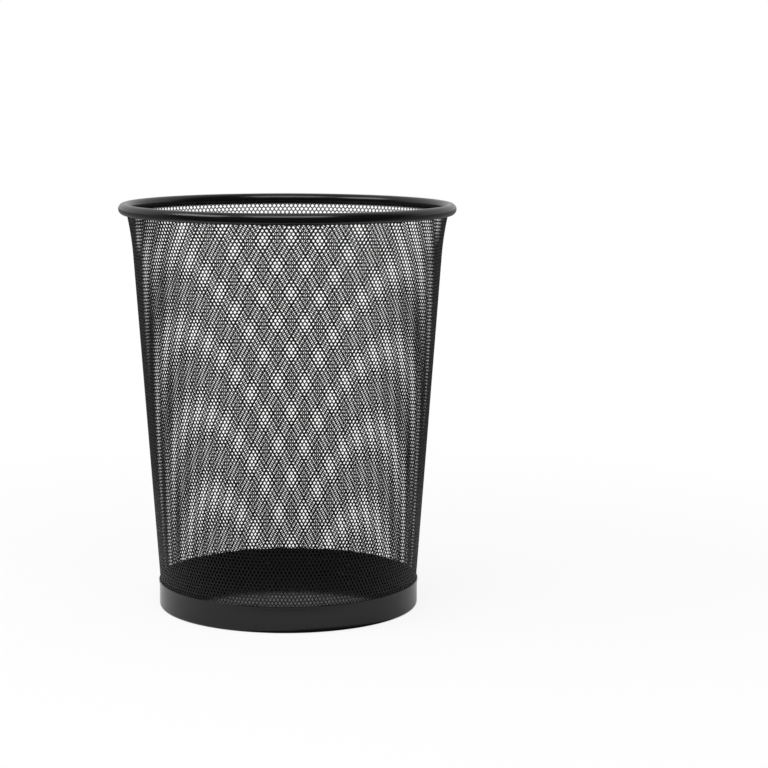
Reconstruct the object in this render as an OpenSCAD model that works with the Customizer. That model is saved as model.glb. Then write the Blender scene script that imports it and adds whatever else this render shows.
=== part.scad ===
// Round office wastebasket: a wall of expanded steel mesh, held at the top in a rolled hoop
// and at the bottom in a pressed base pan, all black powder-coated steel.
// Millimetres, +Z up, origin on the floor under the middle of the basket.

/* [Overall] */
// Height from the floor to the top of the rim
basket_h = 356; // [280:1:430]
// Outer diameter over the rim
rim_outer_d = 294; // [265:1:340]
// Outer diameter of the base skirt
base_outer_d = 229; // [190:1:245]

/* [Rim] */
// Diameter of the round section of the rolled hoop
rim_section_d = 9.8; // [8:0.1:13]
// Sheet thickness of the hoop
rim_sheet = 0.8; // [0.5:0.1:1.2]
// Where the wall enters the roll: degrees from straight down, towards the inside
rim_slot_angle = 28; // [15:1:36]
// Height of mesh edge held inside the roll
rim_grip = 3; // [2:0.1:4]
// Width of the weld that closes the hoop
rim_weld_w = 2; // [1:0.1:4]

/* [Mesh wall] */
// Thickness of the flattened expanded sheet
wall_t = 0.5; // [0.5:0.1:1.2]
// Height of the flare under the rim
flare_h = 37; // [20:1:60]
// How far the flare carries the wall outwards
flare_out = 2.7; // [1:0.1:6]
// Openings around the wall in every second row
opening_columns = 20; // [12:1:20]
// Rows of openings between the skirt and the rim
opening_rows = 9; // [7:1:11]
// Width of the strands between the openings
strand_w = 15; // [9:0.5:18]
// Whole band of mesh above the skirt and below the rim
opening_edge = 7; // [4:0.5:15]

/* [Seam] */
// Direction of the seam around the axis, in degrees from +X
seam_angle = 4; // [0:1:359]
// Gap between the two butted ends of the rolled sheet
seam_gap = 0.8; // [0.4:0.1:1.5]
// Width of the strip that backs the seam
seam_strip_w = 12; // [9:0.5:20]
// Whole band of mesh beyond each edge of that strip
seam_margin = 2; // [1:0.5:6]
// Thickness of that strip
seam_strip_t = 0.8; // [0.5:0.1:1.2]
// Distance of each row of spot welds from the middle of the seam
seam_weld_offset = 3.2; // [2.8:0.1:4]
// Number of spot welds in each row
seam_weld_count = 14; // [6:1:24]
// Distance of the first and last weld from the ends of the strip
seam_weld_inset = 8; // [4:0.5:20]

/* [Base] */
// Height of the skirt above the floor
skirt_h = 23.5; // [18:0.5:40]
// Sheet thickness of the pan
pan_sheet = 0.6; // [0.5:0.1:1]
// Outer radius of the bend between skirt and standing ring
pan_corner_r = 2.2; // [1.6:0.1:4]
// Width of the flat ring that the basket stands on
stand_ring_w = 7; // [4:0.5:15]
// Width of the slope between the standing ring and the panel
panel_slope_w = 5; // [3:0.5:10]
// Height of the panel's underside above the floor
panel_lift = 1.2; // [0.6:0.1:3]
// Height of the hem folded outwards at the top of the skirt
hem_h = 2.4; // [1.6:0.1:4]
// How far the hem stands proud of the skirt
hem_proud = 0.5; // [0.3:0.1:1]

/* [Clamp ring] */
// Height of the inner ring that holds the raw mesh edge
clamp_ring_h = 12; // [8:0.5:14]
// Thickness of that ring
clamp_ring_t = 0.8; // [0.5:0.1:1.5]
// Number of spot welds around the ring
base_weld_count = 18; // [8:1:30]

/* [Fits] */
// Clearance between pressed pieces
fit_gap = 0.15; // [0.1:0.05:0.3]
// Height of the mesh edge above the bend of the pan
edge_rise = 0.6; // [0.3:0.1:2]
// Diameter of a spot weld
weld_d = 4; // [3:0.1:5]
// Height of a spot weld's crown
weld_h = 0.5; // [0.3:0.1:0.8]
// Film between a weld's flat foot and the curved face under it
weld_seat = 0.05; // [0.03:0.01:0.1]

/* [Hidden] */
$fn = 96;
eps = 0.01;
black_paint = [0.06, 0.06, 0.065];
mesh_paint = [0.10, 0.10, 0.105];
pan_paint = [0.08, 0.08, 0.085];
weld_paint = [0.16, 0.16, 0.165];

// Round section of the rim and the point where the wall enters it
rim_r = rim_section_d / 2;
rim_centre_r = rim_outer_d / 2 - rim_r;
rim_centre_z = basket_h - rim_r;
entry_r = rim_centre_r - rim_r * sin(rim_slot_angle);
entry_z = rim_centre_z - rim_r * cos(rim_slot_angle);
rim_weld_deg = 360 * rim_weld_w / (2 * PI * rim_centre_r);

// Wall: straight down inside the skirt, a plain cone above it, and a flare under the rim
skirt_r = base_outer_d / 2;
wall_base_r = skirt_r - pan_sheet - fit_gap;
wall_bottom = pan_corner_r + edge_rise;
wall_top = entry_z + rim_grip;
flare_z = entry_z - flare_h;
wall_lean = (entry_r - flare_out - wall_base_r) / (entry_z - skirt_h);
flare_steps = 4;

// Openings of the wall: a coarse grid of upright diamonds for the fine mesh
opening_low = skirt_h + opening_edge;
opening_high = entry_z - rim_sheet - opening_edge;
opening_step = (opening_high - opening_low) / (opening_rows + 1);
opening_margin = asin((seam_strip_w / 2 + seam_margin) / wall_base_r);
opening_pitch = (360 - 2 * opening_margin) / opening_columns;
opening_bow = wall_r(opening_high) * (1 - cos(opening_pitch / 2));
opening_depth = 2 * (wall_t + opening_bow);

// Seam strip on the inside of the wall, between the clamp ring and the rim
clamp_top = wall_bottom + clamp_ring_h;
strip_bottom = clamp_top + fit_gap;
strip_top = entry_z - rim_sheet;

// Pan: skirt, bend, standing ring, slope and panel
bend_steps = 8;
slope_steps = 8;
bend_centre_r = skirt_r - pan_corner_r;
slope_outer_r = bend_centre_r - stand_ring_w;
panel_r = slope_outer_r - panel_slope_w;
hem_w = pan_sheet + hem_proud;

// Outer radius of the wall at a height
function wall_r(z) =
  wall_base_r
  + wall_lean * max(0, z - skirt_h)
  + flare_out * pow(max(0, z - flare_z) / flare_h, 2);

// Angle of the wall from vertical at a height
function wall_tilt(z) =
  z < skirt_h
    ? 0
    : atan(wall_lean + 2 * flare_out * max(0, z - flare_z) / pow(flare_h, 2));

// Heights at which the wall's outline has a point, between two limits
function wall_heights(low, high) = concat(
  [low],
  [for (z = [skirt_h, flare_z]) if (z > low && z < high) z],
  [
    for (i = [1 : flare_steps])
      let (z = max(low, flare_z) + (high - max(low, flare_z)) * i / flare_steps)
        z
  ]
);

// Outline of a layer that follows the wall: depths are measured inwards from the wall's outer face
function layer_outline(low, high, outer_depth, inner_depth) =
  let (zs = wall_heights(low, high))
    concat(
      [for (z = zs) [wall_r(z) - outer_depth, z]],
      [for (i = [len(zs) - 1 : -1 : 0]) [wall_r(zs[i]) - inner_depth, zs[i]]]
    );

// Half width of a row's cells, before the strands take their share
function cell_half_w(z) = wall_r(z) * sin(opening_pitch / 2);

// Share of a cell that its strands leave open
function open_share(z) =
  let (w = cell_half_w(z))
    1 - strand_w * norm([w, opening_step]) / (2 * w * opening_step);

// Height of the pan's sheet above the standing ring, from 0 at the ring to 1 at the panel
function slope_rise(i) = (1 - cos(180 * i / slope_steps)) / 2;

// One face of the pan's sheet, from the middle of the panel out to the skirt, at a depth inside the sheet
function pan_face(depth) = concat(
  [[0, panel_lift + depth]],
  [
    for (i = [slope_steps : -1 : 0])
      [
        slope_outer_r - panel_slope_w * i / slope_steps,
        panel_lift * slope_rise(i) + depth
      ]
  ],
  [
    for (i = [0 : bend_steps])
      let (a = 90 * i / bend_steps)
        [
          bend_centre_r + (pan_corner_r - depth) * sin(a),
          pan_corner_r - (pan_corner_r - depth) * cos(a)
        ]
  ]
);

function reversed(list) = [for (i = [len(list) - 1 : -1 : 0]) list[i]];

module rim_section() {
  difference() {
    translate([rim_centre_r, rim_centre_z])
      circle(rim_r);
    translate([rim_centre_r, rim_centre_z])
      circle(rim_r - rim_sheet);
    polygon(layer_outline(entry_z - rim_r, rim_centre_z, -fit_gap, wall_t + fit_gap));
  }
}

module spot_weld() {
  cylinder(h = weld_h, d1 = weld_d, d2 = weld_d / 2);
}

module rim_hoop() {
  color(black_paint)
    rotate([0, 0, seam_angle + rim_weld_deg / 2])
      rotate_extrude(angle = 360 - rim_weld_deg)
        rim_section();
}

module rim_joint_weld() {
  color(weld_paint)
    rotate([0, 0, seam_angle - rim_weld_deg / 2])
      rotate_extrude(angle = rim_weld_deg)
        rim_section();
}

module diamond(half_w, half_h) {
  polygon([[half_w, 0], [0, half_h], [-half_w, 0], [0, -half_h]]);
}

// Cutter of one opening, square to the sheet, at a height
module wall_opening(z) {
  share = open_share(z);
  translate([wall_r(z) - wall_t / 2, 0, z])
    rotate([0, wall_tilt(z), 0])
      rotate([90, 0, 90])
        linear_extrude(opening_depth, center = true)
          diamond(cell_half_w(z) * share, opening_step * share);
}

module mesh_wall() {
  color(mesh_paint)
    difference() {
      rotate_extrude()
        polygon(layer_outline(wall_bottom, wall_top, 0, wall_t));
      rotate([0, 0, seam_angle])
        translate([0, -seam_gap / 2, -eps])
          cube([rim_outer_d, seam_gap, basket_h]);
      for (row = [0 : opening_rows - 1])
        let (shift = row % 2)
          for (i = [0 : opening_columns - 1 - shift])
            rotate([0, 0, seam_angle + opening_margin + opening_pitch * (i + (1 + shift) / 2)])
              wall_opening(opening_low + opening_step * (row + 1));
    }
}

module seam_strip() {
  strip_face = wall_t + fit_gap;
  color(black_paint)
    intersection() {
      rotate_extrude()
        polygon(layer_outline(strip_bottom, strip_top, strip_face, strip_face + seam_strip_t));
      rotate([0, 0, seam_angle])
        translate([0, -seam_strip_w / 2, 0])
          cube([rim_outer_d, seam_strip_w, basket_h]);
    }
}

module seam_spot_welds() {
  low = strip_bottom + seam_weld_inset;
  high = strip_top - seam_weld_inset;
  face_depth = wall_t + fit_gap + seam_strip_t + weld_seat;
  color(weld_paint)
    for (row = [-1, 1])
      for (i = [0 : seam_weld_count - 1])
        let (
          z = low + (high - low) * i / (seam_weld_count - 1),
          r = wall_r(z) - face_depth,
          a = seam_angle + row * asin(seam_weld_offset / r)
        )
          rotate([0, 0, a])
            translate([r, 0, z])
              rotate([0, wall_tilt(z) - 90, 0])
                spot_weld();
}

module base_pan() {
  color(pan_paint)
    rotate_extrude() {
      polygon(concat(
        pan_face(0),
        [[skirt_r, skirt_h - hem_h], [skirt_r - pan_sheet, skirt_h - hem_h]],
        reversed(pan_face(pan_sheet))
      ));
      translate([skirt_r - pan_sheet, skirt_h - hem_h])
        square([hem_w, hem_h - hem_w / 2]);
      translate([skirt_r - pan_sheet + hem_w / 2, skirt_h - hem_w / 2])
        circle(hem_w / 2);
    }
}

module base_clamp_ring() {
  ring_r = wall_base_r - wall_t - fit_gap;
  color(black_paint)
    translate([0, 0, wall_bottom])
      difference() {
        cylinder(h = clamp_ring_h, r = ring_r);
        translate([0, 0, -eps])
          cylinder(h = clamp_ring_h + 2 * eps, r = ring_r - clamp_ring_t);
      }
}

module base_spot_welds() {
  r = wall_base_r - wall_t - fit_gap - clamp_ring_t - weld_seat;
  color(weld_paint)
    for (i = [0 : base_weld_count - 1])
      rotate([0, 0, 360 * i / base_weld_count])
        translate([r, 0, wall_bottom + clamp_ring_h / 2])
          rotate([0, -90, 0])
            spot_weld();
}

rim_hoop();
rim_joint_weld();
mesh_wall();
seam_strip();
seam_spot_welds();
base_pan();
base_clamp_ring();
base_spot_welds();
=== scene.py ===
"""Looks of a round office wastebasket of black expanded steel mesh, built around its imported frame.

Metres, +Z up, origin on the floor under the middle of the basket, -Y towards the camera.
"""

import logging
import math
from dataclasses import dataclass, field
from enum import Enum, IntEnum
from typing import Any, Mapping, Sequence

import bmesh
import bpy
import numpy as np
from mathutils import Matrix, Vector


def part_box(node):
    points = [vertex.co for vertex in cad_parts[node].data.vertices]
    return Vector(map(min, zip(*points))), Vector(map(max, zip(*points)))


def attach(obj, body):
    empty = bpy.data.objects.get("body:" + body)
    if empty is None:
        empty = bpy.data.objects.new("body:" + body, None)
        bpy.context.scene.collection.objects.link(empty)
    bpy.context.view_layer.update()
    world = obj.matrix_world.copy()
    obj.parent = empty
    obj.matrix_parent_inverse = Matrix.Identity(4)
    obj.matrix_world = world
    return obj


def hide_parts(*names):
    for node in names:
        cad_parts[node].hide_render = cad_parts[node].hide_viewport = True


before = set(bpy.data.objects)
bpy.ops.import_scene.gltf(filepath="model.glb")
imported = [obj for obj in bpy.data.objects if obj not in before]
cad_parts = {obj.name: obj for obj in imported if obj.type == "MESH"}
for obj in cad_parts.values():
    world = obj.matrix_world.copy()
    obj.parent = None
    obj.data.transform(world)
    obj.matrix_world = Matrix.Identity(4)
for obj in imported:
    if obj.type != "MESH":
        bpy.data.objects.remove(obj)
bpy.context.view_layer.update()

log = logging.getLogger("wastebasket")

MM = 0.001
BODY = "root"

Colour = tuple[float, float, float]
Place = tuple[float, float, float]
Span = tuple[float, float]
Numbers = np.ndarray | float
WHITE: Colour = (1.0, 1.0, 1.0)


class Slot(Enum):
    """Names of material slots of the record, one given with each piece."""

    RIM = "rim_coat"
    MESH = "mesh_coat"
    STRIP = "strip_coat"
    PAN = "pan_coat"
    WELD = "weld_coat"


class Rubbed(Enum):
    """Where use has rubbed a coat a little smoother and greyer."""

    NOWHERE = "nowhere"
    CROWN = "the crown of the rim, under hands and bags"
    FOOT = "the foot of the skirt, along the floor and shoes"


# Shader nodes


@dataclass(frozen=True)
class Field:
    """A socket of a shader tree that takes part in Python expressions of values."""

    kit: "NodeKit"
    socket: bpy.types.NodeSocket

    def __add__(self, other: "Value") -> "Field":
        """This value plus another."""
        return self.kit.math("ADD", self, other)

    def __sub__(self, other: "Value") -> "Field":
        """This value minus another."""
        return self.kit.math("SUBTRACT", self, other)

    def __rsub__(self, other: float) -> "Field":
        """A number minus this value."""
        return self.kit.math("SUBTRACT", other, self)

    def __mul__(self, other: "Value") -> "Field":
        """This value times another."""
        return self.kit.math("MULTIPLY", self, other)

    __radd__ = __add__
    __rmul__ = __mul__


Value = Field | float
Settings = Mapping[str, Any]
Inputs = Mapping[str | int, Any]


class NodeKit:
    """Adds nodes to one shader tree."""

    def __init__(self, tree: bpy.types.NodeTree) -> None:
        """Empties the node tree of a material or of the world, to start from."""
        self.tree = tree
        tree.nodes.clear()

    def add(
        self, kind: str, settings: Settings | None = None, inputs: Inputs | None = None
    ) -> bpy.types.Node:
        """Adds one node, with its settings first and then its inputs.

        Args:
            kind: The node's type, such as ShaderNodeTexNoise.
            settings: The node's own properties, such as a Math node's operation.
            inputs: Numbers, colours or fields by the input's name or place.

        Returns:
            The new node.
        """
        node = self.tree.nodes.new(kind)
        for name, value in (settings or {}).items():
            setattr(node, name, value)
        for key, value in (inputs or {}).items():
            if isinstance(value, Field):
                self.tree.links.new(value.socket, node.inputs[key])
            else:
                node.inputs[key].default_value = value
        return node

    def field(
        self, kind: str, output: str | int, settings: Settings | None = None, inputs: Inputs | None = None
    ) -> Field:
        """Adds one node, as add does, and wraps one of its outputs, by name or place."""
        return Field(self, self.add(kind, settings, inputs).outputs[output])

    def math(self, operation: str, first: Value, second: Value) -> Field:
        """One Math node on two values, of which at least one is a field."""
        return self.field("ShaderNodeMath", 0, {"operation": operation}, {0: first, 1: second})

    def step(self, value: Field, low: float, high: float) -> Field:
        """A soft step from 0 at low to 1 at high, which may be the lower of the two."""
        settings = {"interpolation_type": "SMOOTHSTEP"}
        return self.field("ShaderNodeMapRange", 0, settings, {0: value, 1: low, 2: high})

    def blend(self, share: Value, first: Any, second: Any) -> Field:
        """A colour between two colours, the second at a share of 1."""
        return self.field("ShaderNodeMix", 2, {"data_type": "RGBA"}, {0: share, 6: first, 7: second})

    def mix(self, share: Field, first: Field, second: Field) -> Field:
        """A shader between two shaders, the second at a share of 1."""
        return self.field("ShaderNodeMixShader", 0, None, {0: share, 1: first, 2: second})

    def noise(self, place: Field, size: float, detail: float = 2.0) -> Field:
        """Cloudy values around 0.5 whose patches are about one size across, in metres."""
        inputs = {"Vector": place, "Scale": 1.0 / size, "Detail": detail}
        return self.field("ShaderNodeTexNoise", 0, None, inputs)

    def bump(self, depth: float, height: Field, under: Field | None = None) -> Field:
        """The normal of a bump of one depth, on top of another bump where one is given."""
        inputs = {"Strength": 1.0, "Distance": depth, "Height": height}
        return self.field("ShaderNodeBump", "Normal", None, inputs | ({"Normal": under} if under else {}))

    def part(self, vector: Field, axis: str) -> Field:
        """One part of a vector, by the name of its axis."""
        return self.field("ShaderNodeSeparateXYZ", axis, None, {0: vector})

    def rays(self) -> list[Field]:
        """Flags of the rays that come from the camera, from gloss and through glass."""
        outputs = self.add("ShaderNodeLightPath").outputs
        return [Field(self, outputs[f"Is {kind} Ray"]) for kind in ("Camera", "Glossy", "Transmission")]


def rgba(colour: Colour) -> tuple[float, float, float, float]:
    """A colour with full alpha, as sockets take it."""
    return (*colour, 1.0)


@dataclass(frozen=True)
class PowderCoat:
    """A black powder coat on steel: orange peel, fine grain, slow drift, dust and rubbing."""

    name: str
    colour: Colour
    roughness: float
    ior: float = 1.5
    peel_size: float = 1.7 * MM
    peel_depth: float = 0.016 * MM
    grain_size: float = 0.24 * MM
    grain_depth: float = 0.0025 * MM
    drift_size: float = 45 * MM
    drift_detail: float = 4.0
    drift_lift: float = 1.5
    roughness_spread: float = 0.08
    dust_size: float = 0.5 * MM
    dust_detail: float = 1.0
    dust_band: Span = (0.66, 0.74)
    dust_slope: Span = (0.55, 0.95)
    dust_patch: float = 30 * MM
    dust_share: float = 0.05
    dust_roughness: float = 0.25
    dust_colour: Colour = (0.10, 0.098, 0.094)
    rubbed: Rubbed = Rubbed.NOWHERE
    rub_height: float = 0.0
    rub_depth: float = 1.0 * MM
    rub_share: float = 0.5
    rub_polish: float = 0.08
    rub_colour: Colour = (0.045, 0.045, 0.047)
    streak_size: float = 9 * MM
    streak_detail: float = 6.0
    streak_band: Span = (0.5, 0.72)

    def rub_mask(self, kit: NodeKit, place: Field) -> Field:
        """Where the coat is rubbed: a band by height, broken up by streaks.

        Args:
            kit: The tree that gets the nodes.
            place: Position in the frame.

        Returns:
            A mask from 0 to 1.
        """
        streaks = kit.step(kit.noise(place, self.streak_size, self.streak_detail), *self.streak_band)
        far = -self.rub_depth if self.rubbed is Rubbed.CROWN else self.rub_depth
        return kit.step(kit.part(place, "Z"), self.rub_height + far, self.rub_height) * streaks

    def dust_mask(self, kit: NodeKit, place: Field) -> Field:
        """Specks of dust on what faces up.

        Args:
            kit: The tree that gets the nodes.
            place: Position in the frame.

        Returns:
            A mask from 0 to 1.
        """
        upward = kit.part(kit.field("ShaderNodeNewGeometry", "Normal"), "Z")
        specks = kit.step(kit.noise(place, self.dust_size, self.dust_detail), *self.dust_band)
        return kit.step(upward, *self.dust_slope) * specks * kit.noise(place, self.dust_patch)

    def material(self) -> bpy.types.Material:
        """Makes the coat as a material.

        Returns:
            A material whose colour, roughness and bump vary over the surface.
        """
        made = bpy.data.materials.new(self.name)
        made.use_nodes = True
        kit = NodeKit(made.node_tree)
        place = kit.field("ShaderNodeTexCoord", "Object")
        drift = kit.noise(place, self.drift_size, self.drift_detail)
        grain = kit.noise(place, self.grain_size)
        dust = self.dust_mask(kit, place)
        lifted = tuple(self.drift_lift * part for part in self.colour)
        colour = kit.blend(drift, rgba(self.colour), rgba(lifted))
        colour = kit.blend(dust * self.dust_share, colour, rgba(self.dust_colour))
        unevenness = (drift + grain - 1.0) * self.roughness_spread
        roughness = self.roughness + unevenness + dust * self.dust_roughness
        if self.rubbed is not Rubbed.NOWHERE:
            rub = self.rub_mask(kit, place)
            colour = kit.blend(rub * self.rub_share, colour, rgba(self.rub_colour))
            roughness = roughness - rub * self.rub_polish
        peel = kit.bump(self.peel_depth, kit.noise(place, self.peel_size))
        normal = kit.bump(self.grain_depth, grain, peel)
        inputs = {"Base Color": colour, "Roughness": roughness, "IOR": self.ior, "Normal": normal}
        shader = kit.field("ShaderNodeBsdfPrincipled", 0, None, inputs)
        kit.add("ShaderNodeOutputMaterial", None, {"Surface": shader})
        return made


# Meshes


BAKE_MAP = "OFBake"
MAP_EDGE = 0.01
SKIN_SPAN: Span = (0.94, 0.98)
CAP_PLACES: tuple[Span, Span] = ((0.975, 0.3), (0.975, 0.7))
CAP_RADIUS = 0.01
JOIN_DISTANCE = 0.0005 * MM
SLIVER_DISTANCE = 0.0001 * MM


@dataclass
class Shape:
    """Points and faces of one piece, with a place on its bake map for each face corner.

    Points may have their own shading directions.
    """

    points: np.ndarray
    faces: list[np.ndarray] = field(default_factory=list)
    maps: list[np.ndarray] = field(default_factory=list)
    normals: np.ndarray | None = None

    def add_faces(self, corners: np.ndarray, places: np.ndarray) -> None:
        """Adds rows of point numbers, one per face, with a map place for each corner."""
        self.faces.append(corners)
        self.maps.append(places)

    @classmethod
    def gathered(cls, shapes: Sequence["Shape"]) -> "Shape":
        """Several shapes as one, each in its own square of the map.

        Args:
            shapes: The shapes to gather.

        Returns:
            One shape with all their points and faces.
        """
        side = math.ceil(math.sqrt(len(shapes)))
        whole = cls(np.concatenate([shape.points for shape in shapes]))
        start = 0
        for number, shape in enumerate(shapes):
            corner = np.array(divmod(number, side), float)
            for corners, places in zip(shape.faces, shape.maps):
                whole.add_faces(corners + start, (places + corner) / side)
            start += len(shape.points)
        return whole

    def piece(self, name: str, crease_deg: float = 180.0, weld: bool = False) -> bpy.types.Object:
        """Makes the Blender object.

        Args:
            name: The piece's name.
            crease_deg: Edges sharper than this angle stay sharp.
            weld: Whether points in one place become one point, with all faces turned outwards.

        Returns:
            The object, linked to the scene.
        """
        mesh = bpy.data.meshes.new(name)
        corners = np.concatenate([rows.ravel() for rows in self.faces])
        totals = np.concatenate([np.full(len(rows), rows.shape[1]) for rows in self.faces])
        places = np.concatenate([rows.reshape(-1, 2) for rows in self.maps])
        mesh.vertices.add(len(self.points))
        mesh.vertices.foreach_set("co", self.points.astype(np.float32).ravel())
        mesh.loops.add(len(corners))
        mesh.loops.foreach_set("vertex_index", corners.astype(np.int32))
        mesh.polygons.add(len(totals))
        mesh.polygons.foreach_set("loop_start", (np.cumsum(totals) - totals).astype(np.int32))
        mesh.polygons.foreach_set("use_smooth", np.ones(len(totals), bool))
        mesh.update(calc_edges=True)
        layer = mesh.uv_layers.new(name=BAKE_MAP)
        layer.uv.foreach_set("vector", places.astype(np.float32).ravel())
        if weld:
            self.weld(mesh)
        if crease_deg < 180.0:
            mesh.set_sharp_from_angle(angle=math.radians(crease_deg))
        if self.normals is not None:
            mesh.normals_split_custom_set_from_vertices(self.normals)
        piece = bpy.data.objects.new(name, mesh)
        bpy.context.scene.collection.objects.link(piece)
        return piece

    @staticmethod
    def weld(mesh: bpy.types.Mesh) -> None:
        """Joins points that share a place, and turns all faces outwards.

        Args:
            mesh: The mesh to change.
        """
        joined = bmesh.new()
        joined.from_mesh(mesh)
        bmesh.ops.remove_doubles(joined, verts=joined.verts, dist=JOIN_DISTANCE)
        bmesh.ops.dissolve_degenerate(joined, edges=joined.edges, dist=SLIVER_DISTANCE)
        bmesh.ops.recalc_face_normals(joined, faces=joined.faces)
        joined.to_mesh(mesh)
        joined.free()


def arc(centre: Sequence[float], radius: float, start: float, end: float, steps: int) -> np.ndarray:
    """Points along a round arc between two angles in degrees, one row each, steps + 1 in all."""
    turn = np.radians(np.linspace(start, end, steps + 1))
    return np.stack([centre[0] + radius * np.cos(turn), centre[1] + radius * np.sin(turn)], 1)


def full_turn(steps: int) -> np.ndarray:
    """Directions all round the axis, without the last, which would repeat the first."""
    return np.linspace(0, 2 * math.pi, steps, endpoint=False)


def circle(steps: int) -> np.ndarray:
    """Points of a circle with a radius of 1, one row each."""
    return arc((0.0, 0.0), 1.0, 0.0, 360.0, steps)[:-1]


def rounded_box(low: Sequence[float], high: Sequence[float], radius: float, steps: int) -> np.ndarray:
    """Outline of an upright rectangle with round corners.

    Args:
        low: Its lower left corner.
        high: Its upper right corner.
        radius: Radius of the corners.
        steps: Number of stretches in each corner.

    Returns:
        One row per point, anticlockwise from the lower right corner.
    """
    left, right = low[0] + radius, high[0] - radius
    bottom, top = low[1] + radius, high[1] - radius
    centres = ((right, bottom), (right, top), (left, top), (left, bottom))
    return np.concatenate([arc(c, radius, 90.0 * i - 90, 90.0 * i, steps) for i, c in enumerate(centres)])


def pairs(first: np.ndarray, second: np.ndarray) -> tuple[np.ndarray, np.ndarray]:
    """Each number of one array with each of another, as two flat arrays."""
    grid = np.meshgrid(first, second, indexing="ij")
    return grid[0].ravel(), grid[1].ravel()


def skin(rings: np.ndarray, looped: bool = True, joined: bool = False) -> Shape:
    """A skin over rings of points that follow each other.

    Args:
        rings: Points by ring, place in the ring and coordinate.
        looped: Whether a ring's last point joins its first.
        joined: Whether the last ring joins the first; if not, looped ends get flat caps.

    Returns:
        The shape, with the skin on most of its map and the caps beside it.
    """
    count, around = rings.shape[:2]
    shape = Shape(rings.reshape(-1, 3))
    along = np.arange(count if joined else count - 1)
    across = np.arange(around if looped else around - 1)
    i, k = pairs(along, across)
    far_i, far_k = (i + 1) % count, (k + 1) % around
    corners = [i * around + k, far_i * around + k, far_i * around + far_k, i * around + far_k]
    u = np.stack([i, i + 1, i + 1, i], 1) / len(along)
    v = np.stack([k, k, k + 1, k + 1], 1) / len(across)
    shape.add_faces(np.stack(corners, 1), MAP_EDGE + np.stack([u, v], 2) * SKIN_SPAN)
    if looped and not joined:
        first = np.arange(around)
        last = first[::-1] + (count - 1) * around
        for cap, middle in zip((first, last), CAP_PLACES):
            shape.add_faces(cap[None], (CAP_RADIUS * circle(around) + middle)[None])
    return shape


def about_axis(radius: Numbers, angle: Numbers, height: Numbers) -> np.ndarray:
    """Points from their distance to the basket's axis, their direction and their height."""
    return np.stack(np.broadcast_arrays(radius * np.cos(angle), radius * np.sin(angle), height), -1)


def turned(outline: np.ndarray, angles: np.ndarray) -> np.ndarray:
    """Rings of an outline of radius and height, turned about the basket's axis to each angle."""
    return about_axis(outline[:, 0], angles[:, None], outline[:, 1])


# Sizes that several sub-assemblies share


@dataclass(frozen=True)
class BasketSizes:
    """The basket's sizes: read from the frame, with named values for what no box shows."""

    rim_r: float
    rim_centre_r: float
    rim_centre_z: float
    hem_r: float
    skirt_h: float
    wall_bottom: float
    wall_top: float
    ring_bottom: float
    ring_top: float
    strip_bottom: float
    strip_top: float
    rim_sheet: float = 0.8 * MM
    rim_slot_deg: float = 28.0
    rim_weld_w: float = 2.0 * MM
    wall_t: float = 0.5 * MM
    flare_h: float = 37.0 * MM
    flare_out: float = 2.7 * MM
    tilt_step: float = 0.1 * MM
    seam_deg: float = 4.0
    strip_w: float = 12.0 * MM
    strip_t: float = 0.8 * MM
    hem_proud: float = 0.5 * MM
    pan_sheet: float = 0.6 * MM
    ring_t: float = 0.8 * MM
    fit_gap: float = 0.15 * MM

    @classmethod
    def from_frame(cls) -> "BasketSizes":
        """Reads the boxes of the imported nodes.

        Returns:
            The sizes, to a hundredth of a millimetre.
        """
        rim_low, rim_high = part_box("rim_hoop")
        pan_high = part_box("base_pan")[1]
        wall_low, wall_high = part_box("mesh_wall")
        ring_low, ring_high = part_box("base_clamp_ring")
        strip_low, strip_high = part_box("seam_strip")
        rim_r = (rim_high.z - rim_low.z) / 2
        sizes = {
            "rim_r": rim_r,
            "rim_centre_r": rim_high.y - rim_r,
            "rim_centre_z": rim_high.z - rim_r,
            "hem_r": pan_high.y,
            "skirt_h": pan_high.z,
            "wall_bottom": wall_low.z,
            "wall_top": wall_high.z,
            "ring_bottom": ring_low.z,
            "ring_top": ring_high.z,
            "strip_bottom": strip_low.z,
            "strip_top": strip_high.z,
        }
        return cls(**{name: round(value, 5) for name, value in sizes.items()})

    @property
    def seam(self) -> float:
        """Direction of the seam around the axis, in radians from +X."""
        return math.radians(self.seam_deg)

    @property
    def skirt_r(self) -> float:
        """Outer radius of the skirt under its hem."""
        return self.hem_r - self.hem_proud

    @property
    def wall_base_r(self) -> float:
        """Outer radius of the wall inside the skirt."""
        return self.skirt_r - self.pan_sheet - self.fit_gap

    @property
    def entry_r(self) -> float:
        """Radius at which the wall enters the rolled rim."""
        return self.rim_centre_r - self.rim_r * math.sin(math.radians(self.rim_slot_deg))

    @property
    def entry_z(self) -> float:
        """Height at which the wall enters the rolled rim."""
        return self.rim_centre_z - self.rim_r * math.cos(math.radians(self.rim_slot_deg))

    def wall_radius(self, z: np.ndarray) -> np.ndarray:
        """Outer radius of the wall: upright in the skirt, a cone above it, a flare under the rim.

        Args:
            z: Heights.

        Returns:
            The radius at each height.
        """
        lean = (self.entry_r - self.flare_out - self.wall_base_r) / (self.entry_z - self.skirt_h)
        flare = np.maximum(0.0, z - self.entry_z + self.flare_h) / self.flare_h
        return self.wall_base_r + lean * np.maximum(0.0, z - self.skirt_h) + self.flare_out * flare**2

    def wall_tilt(self, z: float) -> float:
        """Angle of the wall from upright at a height, in radians."""
        low, high = self.wall_radius(np.array([z - self.tilt_step, z + self.tilt_step]))
        return math.atan2(high - low, 2 * self.tilt_step)


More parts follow.
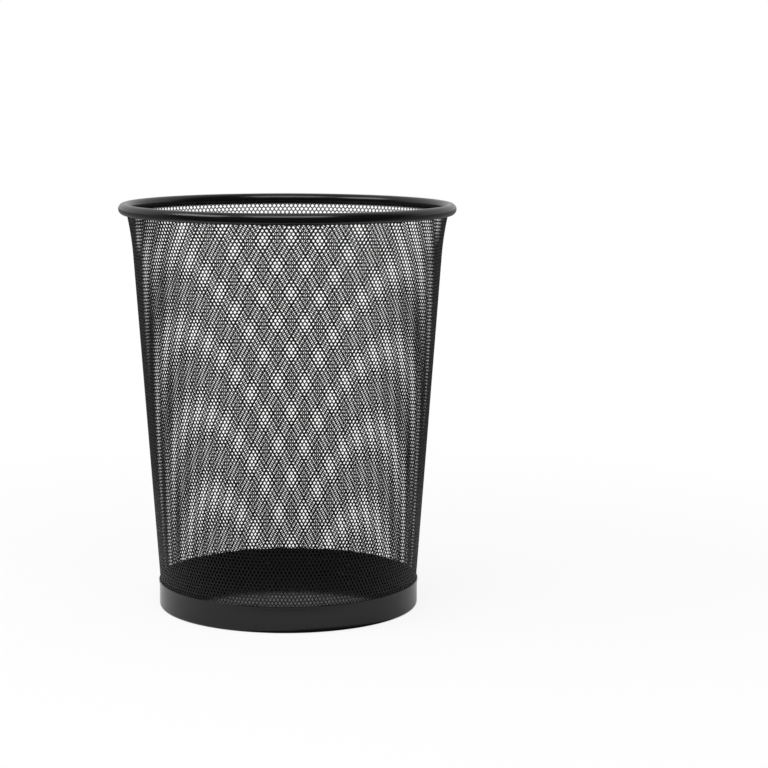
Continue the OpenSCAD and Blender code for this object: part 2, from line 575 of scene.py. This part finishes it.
@dataclass
class SubAssembly:
    """What the sub-assemblies share: the basket's sizes, a coat and how their meshes are closed."""

    sizes: BasketSizes
    coat: bpy.types.Material
    crease_deg: float = 40.0
    weld: bool = True

    def dress(self, shape: Shape, name: str, node: str, slot: Slot) -> None:
        """Makes a coated piece of a shape and ties it to the frame.

        Args:
            shape: The finished shape.
            name: The piece's name.
            node: The node of the frame that it stands for.
            slot: The record's slot that its finish belongs to; not used.
        """
        piece = shape.piece(name, self.crease_deg, self.weld)
        piece.data.materials.append(self.coat)
        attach(piece, BODY)
        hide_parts(node)
        log.info("%s stands for %s, with %d faces", name, node, len(piece.data.polygons))


# Sub-assemblies


@dataclass
class RimHoop(SubAssembly):
    """The rolled hoop around the mouth, open along a slot for the mesh."""

    section_steps: int = 56
    lip_steps: int = 6
    turn_steps: int = 320

    def section(self, swell: float = 0.0) -> np.ndarray:
        """Outline of the rolled strip, a C that is open at the slot, with rounded lips.

        Args:
            swell: How much further out the outer face lies.

        Returns:
            Radius and height of each point, in a closed outline.
        """
        s = self.sizes
        centre = (s.rim_centre_r, s.rim_centre_z)
        lip_r = s.rim_sheet / 2
        middle = s.rim_r - lip_r
        slot = 270.0 - s.rim_slot_deg
        slot_half = math.degrees((s.wall_t / 2 + s.fit_gap) / s.rim_r)
        lip = math.degrees(lip_r / middle)
        first, last = slot + slot_half + lip, slot + 360.0 - slot_half - lip
        outer = arc(centre, s.rim_r + swell, first, last, self.section_steps)
        inner = arc(centre, s.rim_r - s.rim_sheet, last, first, self.section_steps)
        lips = []
        for angle, start in ((last, last), (first, first + 180.0)):
            at = arc(centre, middle, angle, angle, 0)[0]
            lips.append(arc(at, lip_r, start, start + 180.0, self.lip_steps)[1:-1])
        return np.concatenate([outer, lips[0], inner, lips[1]])

    @property
    def weld_half(self) -> float:
        """Half of the angle that the hoop's weld takes."""
        return self.sizes.rim_weld_w / 2 / self.sizes.rim_centre_r

    def build(self) -> None:
        """Makes the hoop, from one side of its weld round to the other."""
        start = self.sizes.seam + self.weld_half
        angles = np.linspace(start, start + 2 * (math.pi - self.weld_half), self.turn_steps + 1)
        self.dress(skin(turned(self.section(), angles)), "rim_rolled_hoop", "rim_hoop", Slot.RIM)


@dataclass
class RimWeld(RimHoop):
    """The dressed weld that closes the hoop: a low crowned bead with a trace of ripple."""

    weld_steps: int = 10
    crown: float = 0.10 * MM
    ripple: float = 0.3
    ripples: int = 23

    def build(self) -> None:
        """Makes the bead over the hoop's own section."""
        flat = self.section()
        wave = 1 + self.ripple * np.sin(np.linspace(0, self.ripples * math.pi, len(flat)))
        rings = []
        for place in np.linspace(-1.0, 1.0, self.weld_steps + 1):
            lift = self.section(self.crown * (1 - place**2)) - flat
            angle = self.sizes.seam + place * self.weld_half
            rings.append(turned(flat + lift * wave[:, None], np.array([angle]))[0])
        self.dress(skin(np.array(rings)), "rim_weld_bead", "rim_joint_weld", Slot.WELD)


class Corner(IntEnum):
    """Corners of a knot of the mesh, anticlockwise as seen from outside."""

    TOP = 0
    LEFT_UP = 1
    LEFT_LOW = 2
    BOTTOM = 3
    RIGHT_LOW = 4
    RIGHT_UP = 5


class Lean(Enum):
    """Ways that a strand leans: corners of its two edges at its start and its end, left ones first."""

    RIGHT = (Corner.TOP, Corner.RIGHT_UP, Corner.LEFT_LOW, Corner.BOTTOM)
    LEFT = (Corner.LEFT_UP, Corner.TOP, Corner.BOTTOM, Corner.RIGHT_LOW)


Edge = tuple[np.ndarray, np.ndarray]


class PanelFaces:
    """Collects the points and faces of one panel of the mesh wall.

    A point has a direction, a place along the slanting wall, a level, and a way to the hole beside
    it, to the right and up. The level is 0 on the outer face, 1 at mid thickness and 2 on the inner
    face. An edge is a pair of arrays, its left and right points by strand and level.
    """

    def __init__(self, angle: np.ndarray, place: np.ndarray, ways: np.ndarray) -> None:
        """Takes the knots' points.

        Args:
            angle: Directions by row, column, level and corner.
            place: Places along the wall, in the same layout.
            ways: The way to the hole beside each corner of a knot.
        """
        self.knots = np.arange(angle.size).reshape(angle.shape)
        level = np.arange(angle.shape[2])[:, None]
        values = np.broadcast_arrays(angle, place, level, *ways.T)
        self.points = np.stack(values, -1).reshape(-1, len(values))
        self.faces: list[tuple[bool, np.ndarray]] = []

    def outer(self, *corners: np.ndarray) -> None:
        """Adds faces that are mapped with the outer face, from columns of point numbers."""
        self.faces.append((True, np.stack(corners, 1)))

    def inner(self, *corners: np.ndarray) -> None:
        """Adds faces that are mapped with the inner face, from columns of point numbers."""
        self.faces.append((False, np.stack(corners, 1)))

    def side(self, first: np.ndarray, second: np.ndarray) -> None:
        """Adds the two bevelled faces of a side that runs from one point to another."""
        self.outer(first[:, 0], second[:, 0], second[:, 1], first[:, 1])
        self.inner(first[:, 1], second[:, 1], second[:, 2], first[:, 2])

    @staticmethod
    def edge(knots: np.ndarray, left: Corner, right: Corner) -> Edge:
        """The edges of knots between two of their corners."""
        return knots[:, :, left], knots[:, :, right]

    def knot(self, knots: np.ndarray) -> None:
        """Adds the faces of knots: a hexagon outside and inside, and a flat at each side.

        Args:
            knots: Point numbers by knot, level and corner.
        """
        self.outer(*knots[:, 0].T)
        self.inner(*knots[:, 2, ::-1].T)
        self.side(*self.edge(knots, Corner.RIGHT_UP, Corner.RIGHT_LOW))
        self.side(*self.edge(knots, Corner.LEFT_LOW, Corner.LEFT_UP))

    def strand(self, start: Edge, end: Edge) -> None:
        """Adds the four sides of strands.

        Args:
            start: The edges that the strands start from.
            end: The edges that they run to.
        """
        self.outer(start[0][:, 0], start[1][:, 0], end[1][:, 0], end[0][:, 0])
        self.inner(end[0][:, 2], end[1][:, 2], start[1][:, 2], start[0][:, 2])
        self.side(end[1], start[1])
        self.side(start[0], end[0])

    def cut(self, left: np.ndarray, right: np.ndarray) -> None:
        """Adds the cut ends of strands; left and right are as seen along the way out of the strand."""
        self.outer(left[:, 0], right[:, 0], right[:, 1], right[:, 2], left[:, 2], left[:, 1])

    def between(self, start: Edge, end: Edge, share: np.ndarray) -> Edge:
        """New points on the way from one edge to another.

        Args:
            start: Edges at a share of 0.
            end: Edges at a share of 1.
            share: How far along each strand the new edge lies.

        Returns:
            The new edges.
        """
        made = []
        part = share[:, None, None]
        for first, last in zip(start, end):
            made.append(len(self.points) + np.arange(first.size).reshape(first.shape))
            points = self.points[first] * (1 - part) + self.points[last] * part
            self.points = np.concatenate([self.points, points.reshape(-1, points.shape[-1])])
        return made[0], made[1]


@dataclass
class MeshWall(SubAssembly):
    """The wall of expanded mesh: upright diamonds between strands, in panels that meet edge to edge.

    A knot is where four strands meet. Knots of every second row stand half a column further on.
    Each knot is a hexagon, with a notch at its top and bottom, where holes come to a point, and a
    flat at each side. Strands run from a knot's upper edges to the lower edges of the next row.
    The shading of each point leans towards the hole beside it, more at a knot's sides than its tips.
    """

    crease_deg: float = 180.0
    weld: bool = False
    columns: int = 220
    panels: int = 6
    cell_h: float = 5.98 * MM
    knot_half_w: float = 0.57 * MM
    flat_half: float = 0.42 * MM
    notch: float = 1.27 * MM
    bevel: float = 0.16 * MM
    tip_lean: float = 0.28
    side_lean: Span = (0.37, 0.15)
    line_steps: int = 800
    seam_share: float = 0.3
    seam_shift: float = 0.25
    map_edge: float = 0.004

    def __post_init__(self) -> None:
        """Works out the rows along the wall's slanting line."""
        s = self.sizes
        self.line_z = np.linspace(s.wall_bottom, s.wall_top, self.line_steps + 1)
        steps = np.hypot(np.diff(s.wall_radius(self.line_z)), np.diff(self.line_z))
        self.line = np.concatenate([[0.0], np.cumsum(steps)])
        self.row_step = self.cell_h / 2
        self.rows = int((self.line[-1] - 2 * self.notch) / self.row_step) + 1
        self.first_row = (self.line[-1] - (self.rows - 1) * self.row_step) / 2
        self.pitch = 2 * math.pi / self.columns

    def height(self, place: np.ndarray) -> np.ndarray:
        """Height of places along the wall's slanting line."""
        return np.interp(place, self.line, self.line_z)

    def hole_ways(self) -> np.ndarray:
        """The shading's lean towards the hole beside each corner of a knot, to the right and up."""
        tip, (across, up) = self.tip_lean, self.side_lean
        return np.array([(0, tip), (-across, -up), (-across, up), (0, -tip), (across, up), (across, -up)])

    def knot_outlines(self, width: np.ndarray) -> np.ndarray:
        """Corners of a knot in each row.

        Args:
            width: Distance between columns in each row.

        Returns:
            Offsets by row, level, corner and direction. Mid thickness has the full outline, and the
            outer and inner faces are drawn in by the bevel.
        """
        run = width / 2 - self.knot_half_w
        rise = np.full_like(run, self.cell_h / 2 - self.flat_half - self.notch)
        slant = np.hypot(run, rise)
        zero = np.zeros_like(run)
        full = (zero + self.notch, zero + self.flat_half, zero + self.knot_half_w)
        drawn = (
            self.notch - self.bevel * slant / run,
            self.flat_half + self.bevel * (slant - rise) / run,
            zero + self.knot_half_w - self.bevel,
        )
        levels = []
        for tip, flat, half in (drawn, full, drawn):
            u = np.stack([zero, -half, -half, zero, half, half], 1)
            v = np.stack([tip, flat, -flat, -tip, -flat, flat], 1)
            levels.append(np.stack([u, v], 2))
        return np.stack(levels, 1)

    def knot_points(self, first: int, count: int) -> tuple[np.ndarray, np.ndarray]:
        """Directions and places of the corners of knots.

        Args:
            first: First column.
            count: Number of columns.

        Returns:
            Angles and places along the wall, each by row, column, level and corner.
        """
        rows = np.arange(self.rows)
        place = self.first_row + rows * self.row_step
        radius = self.sizes.wall_radius(self.height(place))
        outline = self.knot_outlines(radius * self.pitch)
        column = first + np.arange(count)[None] + 0.5 * (rows % 2)[:, None] + self.seam_shift
        turn = outline[..., 0] / radius[:, None, None]
        angle = (self.sizes.seam + column * self.pitch)[:, :, None, None] + turn[:, None]
        along = place[:, None, None] + outline[..., 1]
        return angle, np.broadcast_to(along[:, None], angle.shape)

    def add_strands(self, faces: PanelFaces, lean: Lean, at_seam: tuple[bool, bool]) -> None:
        """Adds the strands of one lean, with those that cross the panel's edges.

        Args:
            faces: The panel, with one column of other knots on each side of its own.
            lean: The way that the strands lean.
            at_seam: Whether the panel's left and right edges are at the seam, where strands are cut.
        """
        rows, columns = faces.knots.shape[:2]
        row, column = pairs(np.arange(rows - 1), np.arange(columns))
        target = column + row % 2 - (lean is Lean.LEFT)
        real = (target >= 0) & (target < columns)
        row, column, target = row[real], column[real], target[real]
        low, high = faces.knots[row, column], faces.knots[row + 1, target]
        own_start, own_end = (np.isin(c, np.arange(1, columns - 1)) for c in (column, target))
        at_edge = np.where(own_start, target, column)
        seam = ((at_edge == 0) & at_seam[0]) | ((at_edge == columns - 1) & at_seam[1])

        def edges(chosen: np.ndarray) -> tuple[Edge, Edge]:
            """Start and end edges of the chosen strands."""
            return faces.edge(low[chosen], *lean.value[:2]), faces.edge(high[chosen], *lean.value[2:])

        faces.strand(*edges(own_start & own_end))
        start, end = edges(own_start & ~own_end)
        stop = faces.between(start, end, np.where(seam, self.seam_share, 1.0)[own_start & ~own_end])
        faces.strand(start, stop)
        faces.cut(*stop)
        end = edges(own_end & ~own_start & ~seam)[1]
        faces.side(end[1], end[0])
        start, end = edges(own_end & ~own_start & seam)
        begin = faces.between(start, end, np.full(len(start[0]), 1 - self.seam_share))
        faces.strand(begin, end)
        faces.cut(begin[1], begin[0])

    def close_ends(self, faces: PanelFaces) -> None:
        """Closes the raw edges of the mesh, above its last row and below its first.

        Args:
            faces: The panel.
        """
        for lean in Lean:
            faces.side(*faces.edge(faces.knots[-1, 1:-1], *lean.value[:2]))
            faces.side(*faces.edge(faces.knots[0, 1:-1], *lean.value[:1:-1]))

    def shape(self, faces: PanelFaces) -> Shape:
        """Turns a panel's faces into a shape, without the points that no face uses.

        Args:
            faces: The collected faces.

        Returns:
            The shape, with the outer face on the left half of its map and the inner on the right.
        """
        angle, place, level = faces.points.T[:3]
        used = np.unique(np.concatenate([corners.ravel() for _, corners in faces.faces]))
        renumber = np.zeros(len(angle), int)
        renumber[used] = np.arange(len(used))
        height = self.height(place)
        radius = self.sizes.wall_radius(height) - level * self.sizes.wall_t / 2
        shape = Shape(about_axis(radius, angle, height)[used], normals=self.normals(faces)[used])
        start = angle[used].min()
        across = (angle - start) / (angle[used].max() - start)
        u = self.map_edge + (0.5 - 3 * self.map_edge) * across
        v = self.map_edge + (1 - 2 * self.map_edge) * place / self.line[-1]
        for is_outer, corners in faces.faces:
            half = 0.0 if is_outer else 0.5
            shape.add_faces(renumber[corners], np.stack([u[corners] + half, v[corners]], 2))
        return shape

    def normals(self, faces: PanelFaces) -> np.ndarray:
        """Shading directions of a panel's points, which lean from the faces towards the holes.

        Args:
            faces: The collected faces.

        Returns:
            One direction per point.
        """
        angle, place, level, right, up = faces.points.T
        rise, spread = (
            np.interp(place, self.line, np.gradient(along, self.line))
            for along in (self.line_z, self.sizes.wall_radius(self.line_z))
        )
        out = (1 - level) * np.sqrt(1 - right**2 - up**2)
        normal = (
            out[:, None] * about_axis(rise, angle, -spread)
            + right[:, None] * about_axis(1.0, angle + math.pi / 2, 0.0)
            + up[:, None] * about_axis(spread, angle, rise)
        )
        return normal / np.linalg.norm(normal, axis=1, keepdims=True)

    def build(self) -> None:
        """Makes all panels, from the seam round to the seam."""
        borders = np.linspace(0, self.columns, self.panels + 1).astype(int)
        for number, (first, end) in enumerate(zip(borders, borders[1:])):
            faces = PanelFaces(*self.knot_points(first - 1, end - first + 2), self.hole_ways())
            faces.knot(faces.knots[:, 1:-1].reshape(-1, 3, len(Corner)))
            for lean in Lean:
                self.add_strands(faces, lean, (number == 0, number == self.panels - 1))
            self.close_ends(faces)
            self.dress(self.shape(faces), f"mesh_wall_panel_{number + 1}", "mesh_wall", Slot.MESH)


@dataclass
class SeamStrip(SubAssembly):
    """The flat strip inside the wall, behind the butted ends of the mesh."""

    edge_r: float = 0.25 * MM
    edge_steps: int = 4
    stations: int = 140

    def build(self) -> None:
        """Makes the strip, which follows the wall's line."""
        s = self.sizes
        half = s.strip_w / 2
        face = s.wall_t + s.fit_gap
        outline = rounded_box((-half, face), (half, face + s.strip_t), self.edge_r, self.edge_steps)
        heights = np.linspace(s.strip_bottom, s.strip_top, self.stations)[:, None]
        radius = s.wall_radius(heights) - outline[:, 1]
        angle = s.seam + np.arcsin(outline[:, 0] / radius)
        shape = skin(about_axis(radius, angle, heights))
        self.dress(shape, "seam_backing_strip", "seam_strip", Slot.STRIP)


@dataclass
class SpotWelds(SubAssembly):
    """Spot welds: low crowned nuggets, each with the dent of the electrode in its middle."""

    crease_deg: float = 50.0
    radius: float = 2.0 * MM
    crown: float = 0.5 * MM
    dent: float = 0.16 * MM
    dent_share: float = 0.5
    rise_share: float = 0.5
    tip_share: float = 0.08
    foot: float = 0.08 * MM
    seat: float = 0.05 * MM
    rings: int = 10
    sides: int = 24
    seam_offset: float = 3.2 * MM
    seam_inset: float = 8.0 * MM
    seam_count: int = 14
    base_count: int = 18

    def nugget(self, angle: float, radius: float, height: float, tilt: float) -> Shape:
        """One nugget on the inside of the basket.

        Args:
            angle: Its direction from the axis.
            radius: Distance of its foot from the axis.
            height: Its height.
            tilt: Angle of the face under it from upright.

        Returns:
            The nugget as a closed shape.
        """
        share = np.linspace(1.0, self.tip_share, self.rings)
        rise = np.clip((1 - share) / self.rise_share, 0, 1)
        dip = np.clip(1 - share / self.dent_share, 0, 1)
        up = self.crown * rise * (2 - rise) - self.dent * dip**2 * (3 - 2 * dip)
        share, up = np.append(1.0, share), np.append(-self.foot, up)
        across = self.radius * share[:, None, None] * circle(self.sides)
        along = np.broadcast_to(up[:, None, None], (len(up), self.sides, 1))
        place = (
            Matrix.Rotation(angle, 4, "Z")
            @ Matrix.Translation((radius, 0, height))
            @ Matrix.Rotation(tilt - math.pi / 2, 4, "Y")
        )
        matrix = np.array(place)
        return skin(np.concatenate([across, along], 2) @ matrix[:3, :3].T + matrix[:3, 3])

    def build_seam(self) -> None:
        """Makes the two rows of nuggets along the seam strip."""
        s = self.sizes
        depth = s.wall_t + s.fit_gap + s.strip_t + self.seat
        low, high = s.strip_bottom + self.seam_inset, s.strip_top - self.seam_inset
        nuggets = []
        for side in (-1, 1):
            for z in np.linspace(low, high, self.seam_count):
                radius = float(s.wall_radius(z)) - depth
                angle = s.seam + side * math.asin(self.seam_offset / radius)
                nuggets.append(self.nugget(angle, radius, z, s.wall_tilt(z)))
        self.dress(Shape.gathered(nuggets), "seam_weld_nuggets", "seam_spot_welds", Slot.WELD)

    def build_base(self) -> None:
        """Makes the ring of nuggets on the clamp ring."""
        s = self.sizes
        radius = s.wall_base_r - s.wall_t - s.fit_gap - s.ring_t - self.seat
        middle = (s.ring_bottom + s.ring_top) / 2
        nuggets = [self.nugget(angle, radius, middle, 0.0) for angle in full_turn(self.base_count)]
        self.dress(Shape.gathered(nuggets), "base_weld_nuggets", "base_spot_welds", Slot.WELD)

    def build(self) -> None:
        """Makes the nuggets of the seam and of the base."""
        self.build_seam()
        self.build_base()


@dataclass
class BasePan(SubAssembly):
    """The pressed pan: a floor panel, a slope, a standing ring, a bend, the skirt and its folded hem."""

    crease_deg: float = 35.0
    corner_r: float = 2.2 * MM
    ring_w: float = 7.0 * MM
    slope_w: float = 5.0 * MM
    lift: float = 1.2 * MM
    panel_share: float = 0.6
    panel_margin: float = 2.0 * MM
    hem_h: float = 2.4 * MM
    hem_edge_r: float = 0.25 * MM
    hem_tuck_deg: float = 150.0
    support: float = 0.5 * MM
    arc_steps: int = 12
    turn_steps: int = 320

    def face(self, depth: float) -> np.ndarray:
        """One face of the sheet, from the middle of the floor out to the foot of the skirt.

        Args:
            depth: Distance inside the sheet from its outer face.

        Returns:
            Radius and height of each point.
        """
        s = self.sizes
        bend_r = s.skirt_r - self.corner_r
        slope_out = bend_r - self.ring_w
        slope_in = slope_out - self.slope_w
        share = np.linspace(1, 0, self.arc_steps + 1)
        rise = self.lift * (1 - np.cos(math.pi * share)) / 2
        slope = np.stack([slope_out - self.slope_w * share, rise + depth], 1)
        radii = (0.0, slope_in * self.panel_share, slope_in - self.panel_margin, slope_in - self.support)
        floor = [(radius, self.lift + depth) for radius in radii]
        flat = [(slope_out + self.support, depth), (bend_r - self.support, depth)]
        bend = arc((bend_r, self.corner_r), self.corner_r - depth, -90.0, 0.0, self.arc_steps)
        foot = [(s.skirt_r - depth, self.corner_r + self.support)]
        return np.concatenate([floor, slope, flat, bend, foot])

    def hem(self) -> np.ndarray:
        """The hem's outline: its edge, its flat face and the round of the fold over the top.

        Returns:
            Radius and height of each point.
        """
        s = self.sizes
        fold_r = (s.pan_sheet + s.hem_proud) / 2
        edge_centre = (s.hem_r - self.hem_edge_r, s.skirt_h - self.hem_h + self.hem_edge_r)
        edge = arc(edge_centre, self.hem_edge_r, -self.hem_tuck_deg, 0.0, self.arc_steps)
        fold = arc((s.hem_r - fold_r, s.skirt_h - fold_r), fold_r, 0.0, 180.0, 2 * self.arc_steps)
        return np.concatenate([edge, fold])

    def build(self) -> None:
        """Makes the pan from one outline: the underside, the hem and the inside back to the middle."""
        s = self.sizes
        under_hem = s.skirt_h - self.hem_h
        outside = [(s.skirt_r, under_hem - self.support), (s.skirt_r, under_hem + self.hem_edge_r / 2)]
        inside = [(s.skirt_r - s.pan_sheet, under_hem - self.support)]
        back = self.face(s.pan_sheet)[::-1]
        outline = np.concatenate([self.face(0.0), outside, self.hem(), inside, back])
        shape = skin(turned(outline, full_turn(self.turn_steps)), looped=False, joined=True)
        self.dress(shape, "base_pressed_pan", "base_pan", Slot.PAN)


@dataclass
class ClampRing(SubAssembly):
    """The flat ring inside the bottom of the wall, which traps the mesh's raw edge against the skirt."""

    edge_r: float = 0.25 * MM
    edge_steps: int = 4
    turn_steps: int = 280

    def build(self) -> None:
        """Makes the ring."""
        s = self.sizes
        outer = s.wall_base_r - s.wall_t - s.fit_gap
        low, high = (outer - s.ring_t, s.ring_bottom), (outer, s.ring_top)
        outline = rounded_box(low, high, self.edge_r, self.edge_steps)
        shape = skin(turned(outline, full_turn(self.turn_steps)), joined=True)
        self.dress(shape, "base_inner_ring", "base_clamp_ring", Slot.STRIP)


# Studio


@dataclass(frozen=True)
class Softbox:
    """A soft lamp that faces the basket."""

    name: str
    place: Place
    width: float
    depth: float
    power: float


@dataclass
class Studio:
    """The camera at the photograph's angle, a pale floor, soft lamps and a white surrounding.

    Spans run from where a change starts to where it is complete. Gloss sees the lit floor only in a pool
    around the basket. Past the pool it sees a faint floor, and a dim one in front of the basket. Close
    under its foot it sees a
    painted contact shadow: the floor is dim there for gloss, so the bend at the foot of the skirt
    reflects shade.
    """

    camera_distance: float = 1.936
    camera_height: float = 0.474
    lens_mm: float = 103.9
    sensor_mm: float = 36.0
    yaw_deg: float = 2.499
    pitch_deg: float = 8.161
    roll_deg: float = 0.23
    floor_radius: float = 60.0
    floor_sides: int = 96
    floor_drop: float = 0.3 * MM
    floor_colour: Colour = (0.82, 0.82, 0.82)
    floor_glow: float = 0.85
    floor_fade: Span = (0.3, 0.95)
    pool_centre: Place = (0.0, 0.15, 0.0)
    pool_edge: Span = (0.31, 0.41)
    front_edge: Span = (-0.16, -0.26)
    # Centre and edge of a painted contact shadow: a patch of floor under the front of the foot that gloss
    # sees dim
    contact_shadow_centre: Place = (0.014, -0.048, 0.0)
    contact_shadow_edge: Span = (0.085, 0.075)
    fill: float = 0.62
    front_level: float = 0.03
    behind_level: float = 0.7
    behind_span: Span = (-0.15, 0.35)
    beyond_level: float = 0.25
    overhead_level: float = 0.9
    overhead_span: Span = (0.45, 0.85)
    aim: Place = (0.0, 0.0, 0.2)
    softboxes: tuple[Softbox, ...] = (
        Softbox("overhead_softbox", (0.0, -1.28, 2.1), 1.8, 1.3, 24.0),
        Softbox("side_softbox", (-1.6, -0.58, 1.72), 1.35, 0.9, 18.0),
    )

    def build_camera(self) -> None:
        """Places the camera in front, turned so that the basket stands left of the middle."""
        data = bpy.data.cameras.new("photo_camera")
        data.lens = self.lens_mm
        data.sensor_width = self.sensor_mm
        camera = bpy.data.objects.new("photo_camera", data)
        yaw, pitch, roll = (math.radians(a) for a in (self.yaw_deg, self.pitch_deg, self.roll_deg))
        camera.matrix_world = (
            Matrix.Translation((0.0, -self.camera_distance, self.camera_height))
            @ Matrix.Rotation(-yaw, 4, "Z")
            @ Matrix.Rotation(math.pi / 2 - pitch, 4, "X")
            @ Matrix.Rotation(roll, 4, "Z")
        )
        bpy.context.scene.collection.objects.link(camera)
        bpy.context.scene.camera = camera

    def floor_material(self) -> bpy.types.Material:
        """A pale matt floor, plain white away from the basket, with its shadow near it.

        Returns:
            A material that gloss sees only in a pool around the basket, but not close under its foot,
            where a painted contact shadow makes the floor dim for gloss.
        """
        made = bpy.data.materials.new("pale_floor")
        made.use_nodes = True
        kit = NodeKit(made.node_tree)
        place = kit.field("ShaderNodeTexCoord", "Object")
        away, from_pool, from_foot = (
            kit.field("ShaderNodeVectorMath", "Value", {"operation": "DISTANCE"}, {0: place, 1: centre})
            for centre in ((0.0, 0.0, 0.0), self.pool_centre, self.contact_shadow_centre)
        )
        camera, glossy, through = kit.rays()
        far = kit.step(away, *self.floor_fade)
        # Painted contact shadow: in a patch under the front of the foot, gloss sees the dim floor instead
        # of the lit one
        under = kit.step(from_foot, *self.contact_shadow_edge)
        hidden = glossy * (kit.step(from_pool, *self.pool_edge) + under)
        dark = kit.step(kit.part(place, "Y"), *self.front_edge) + under
        shown = (camera + through) * (self.floor_glow + far * (1 - self.floor_glow))
        matt = kit.field("ShaderNodeBsdfDiffuse", 0, None, {"Color": rgba(self.floor_colour)})
        faint, dim, white = (
            kit.field("ShaderNodeEmission", 0, None, {"Color": rgba(WHITE), "Strength": level})
            for level in (self.beyond_level, self.front_level, 1.0)
        )
        surface = kit.mix(shown, kit.mix(hidden, matt, kit.mix(dark, faint, dim)), white)
        kit.add("ShaderNodeOutputMaterial", None, {"Surface": surface})
        return made

    def build_floor(self) -> None:
        """Makes the floor, a wide disc just under the basket."""
        around = circle(self.floor_sides)
        level = np.full(self.floor_sides, -self.floor_drop)
        shape = Shape(np.column_stack([self.floor_radius * around, level]))
        shape.add_faces(np.arange(self.floor_sides)[None], (0.5 + around / 2)[None])
        floor = shape.piece("studio_floor")
        floor.data.materials.append(self.floor_material())

    def build_lamps(self) -> None:
        """Hangs the softboxes, each turned to the basket."""
        for box in self.softboxes:
            data = bpy.data.lights.new(box.name, "AREA")
            data.shape = "RECTANGLE"
            data.size, data.size_y = box.width, box.depth
            data.energy = box.power
            lamp = bpy.data.objects.new(box.name, data)
            lamp.location = box.place
            lamp.rotation_mode = "QUATERNION"
            lamp.rotation_quaternion = (Vector(self.aim) - lamp.location).to_track_quat("-Z", "Y")
            bpy.context.scene.collection.objects.link(lamp)

    def build_world(self) -> None:
        """A white surrounding for the camera, an even fill, and a dim room in front for gloss."""
        world = bpy.data.worlds.new("white_studio")
        world.use_nodes = True
        bpy.context.scene.world = world
        kit = NodeKit(world.node_tree)
        way = kit.field("ShaderNodeTexCoord", "Generated")
        behind = kit.step(kit.part(way, "Y"), *self.behind_span)
        overhead = kit.step(kit.part(way, "Z"), *self.overhead_span)
        level = self.front_level + behind * (self.behind_level - self.front_level)
        reflected = level * (1 - overhead * (1 - self.overhead_level))
        camera, glossy, through = kit.rays()
        strength = self.fill + (camera + through) * (1 - self.fill) + glossy * (reflected - self.fill)
        inputs = {"Color": rgba(WHITE), "Strength": strength}
        background = kit.field("ShaderNodeBackground", 0, None, inputs)
        kit.add("ShaderNodeOutputWorld", None, {"Surface": background})

    def build(self) -> None:
        """Makes everything around the basket."""
        bpy.context.scene.view_settings.view_transform = "Standard"
        self.build_camera()
        self.build_floor()
        self.build_lamps()
        self.build_world()


def main() -> None:
    """Builds the studio and every sub-assembly of the basket, in order."""
    logging.basicConfig(level=logging.INFO, format="%(name)s: %(message)s")
    Studio().build()
    sizes = BasketSizes.from_frame()
    rim_coat = PowderCoat(
        "rim_black",
        (0.0032, 0.0032, 0.0034),
        roughness=0.22,
        rubbed=Rubbed.CROWN,
        rub_height=sizes.rim_centre_z + sizes.rim_r,
    ).material()
    mesh_coat = PowderCoat("mesh_black", (0.003, 0.003, 0.0032), roughness=0.42, ior=1.35).material()
    strip_coat = PowderCoat("strip_black", (0.0036, 0.0036, 0.0038), roughness=0.30).material()
    pan_coat = PowderCoat(
        "pan_black",
        (0.0034, 0.0034, 0.0036),
        roughness=0.09,
        ior=1.41,
        peel_depth=0.004 * MM,
        rubbed=Rubbed.FOOT,
    ).material()
    weld_coat = PowderCoat(
        "weld_black", (0.0045, 0.0045, 0.0048), roughness=0.32, peel_depth=0.03 * MM
    ).material()
    for assembly in (
        RimHoop(sizes, rim_coat),
        RimWeld(sizes, weld_coat),
        MeshWall(sizes, mesh_coat),
        SeamStrip(sizes, strip_coat),
        ClampRing(sizes, strip_coat),
        SpotWelds(sizes, weld_coat),
        BasePan(sizes, pan_coat),
    ):
        assembly.build()


if __name__ == "__main__":
    main()
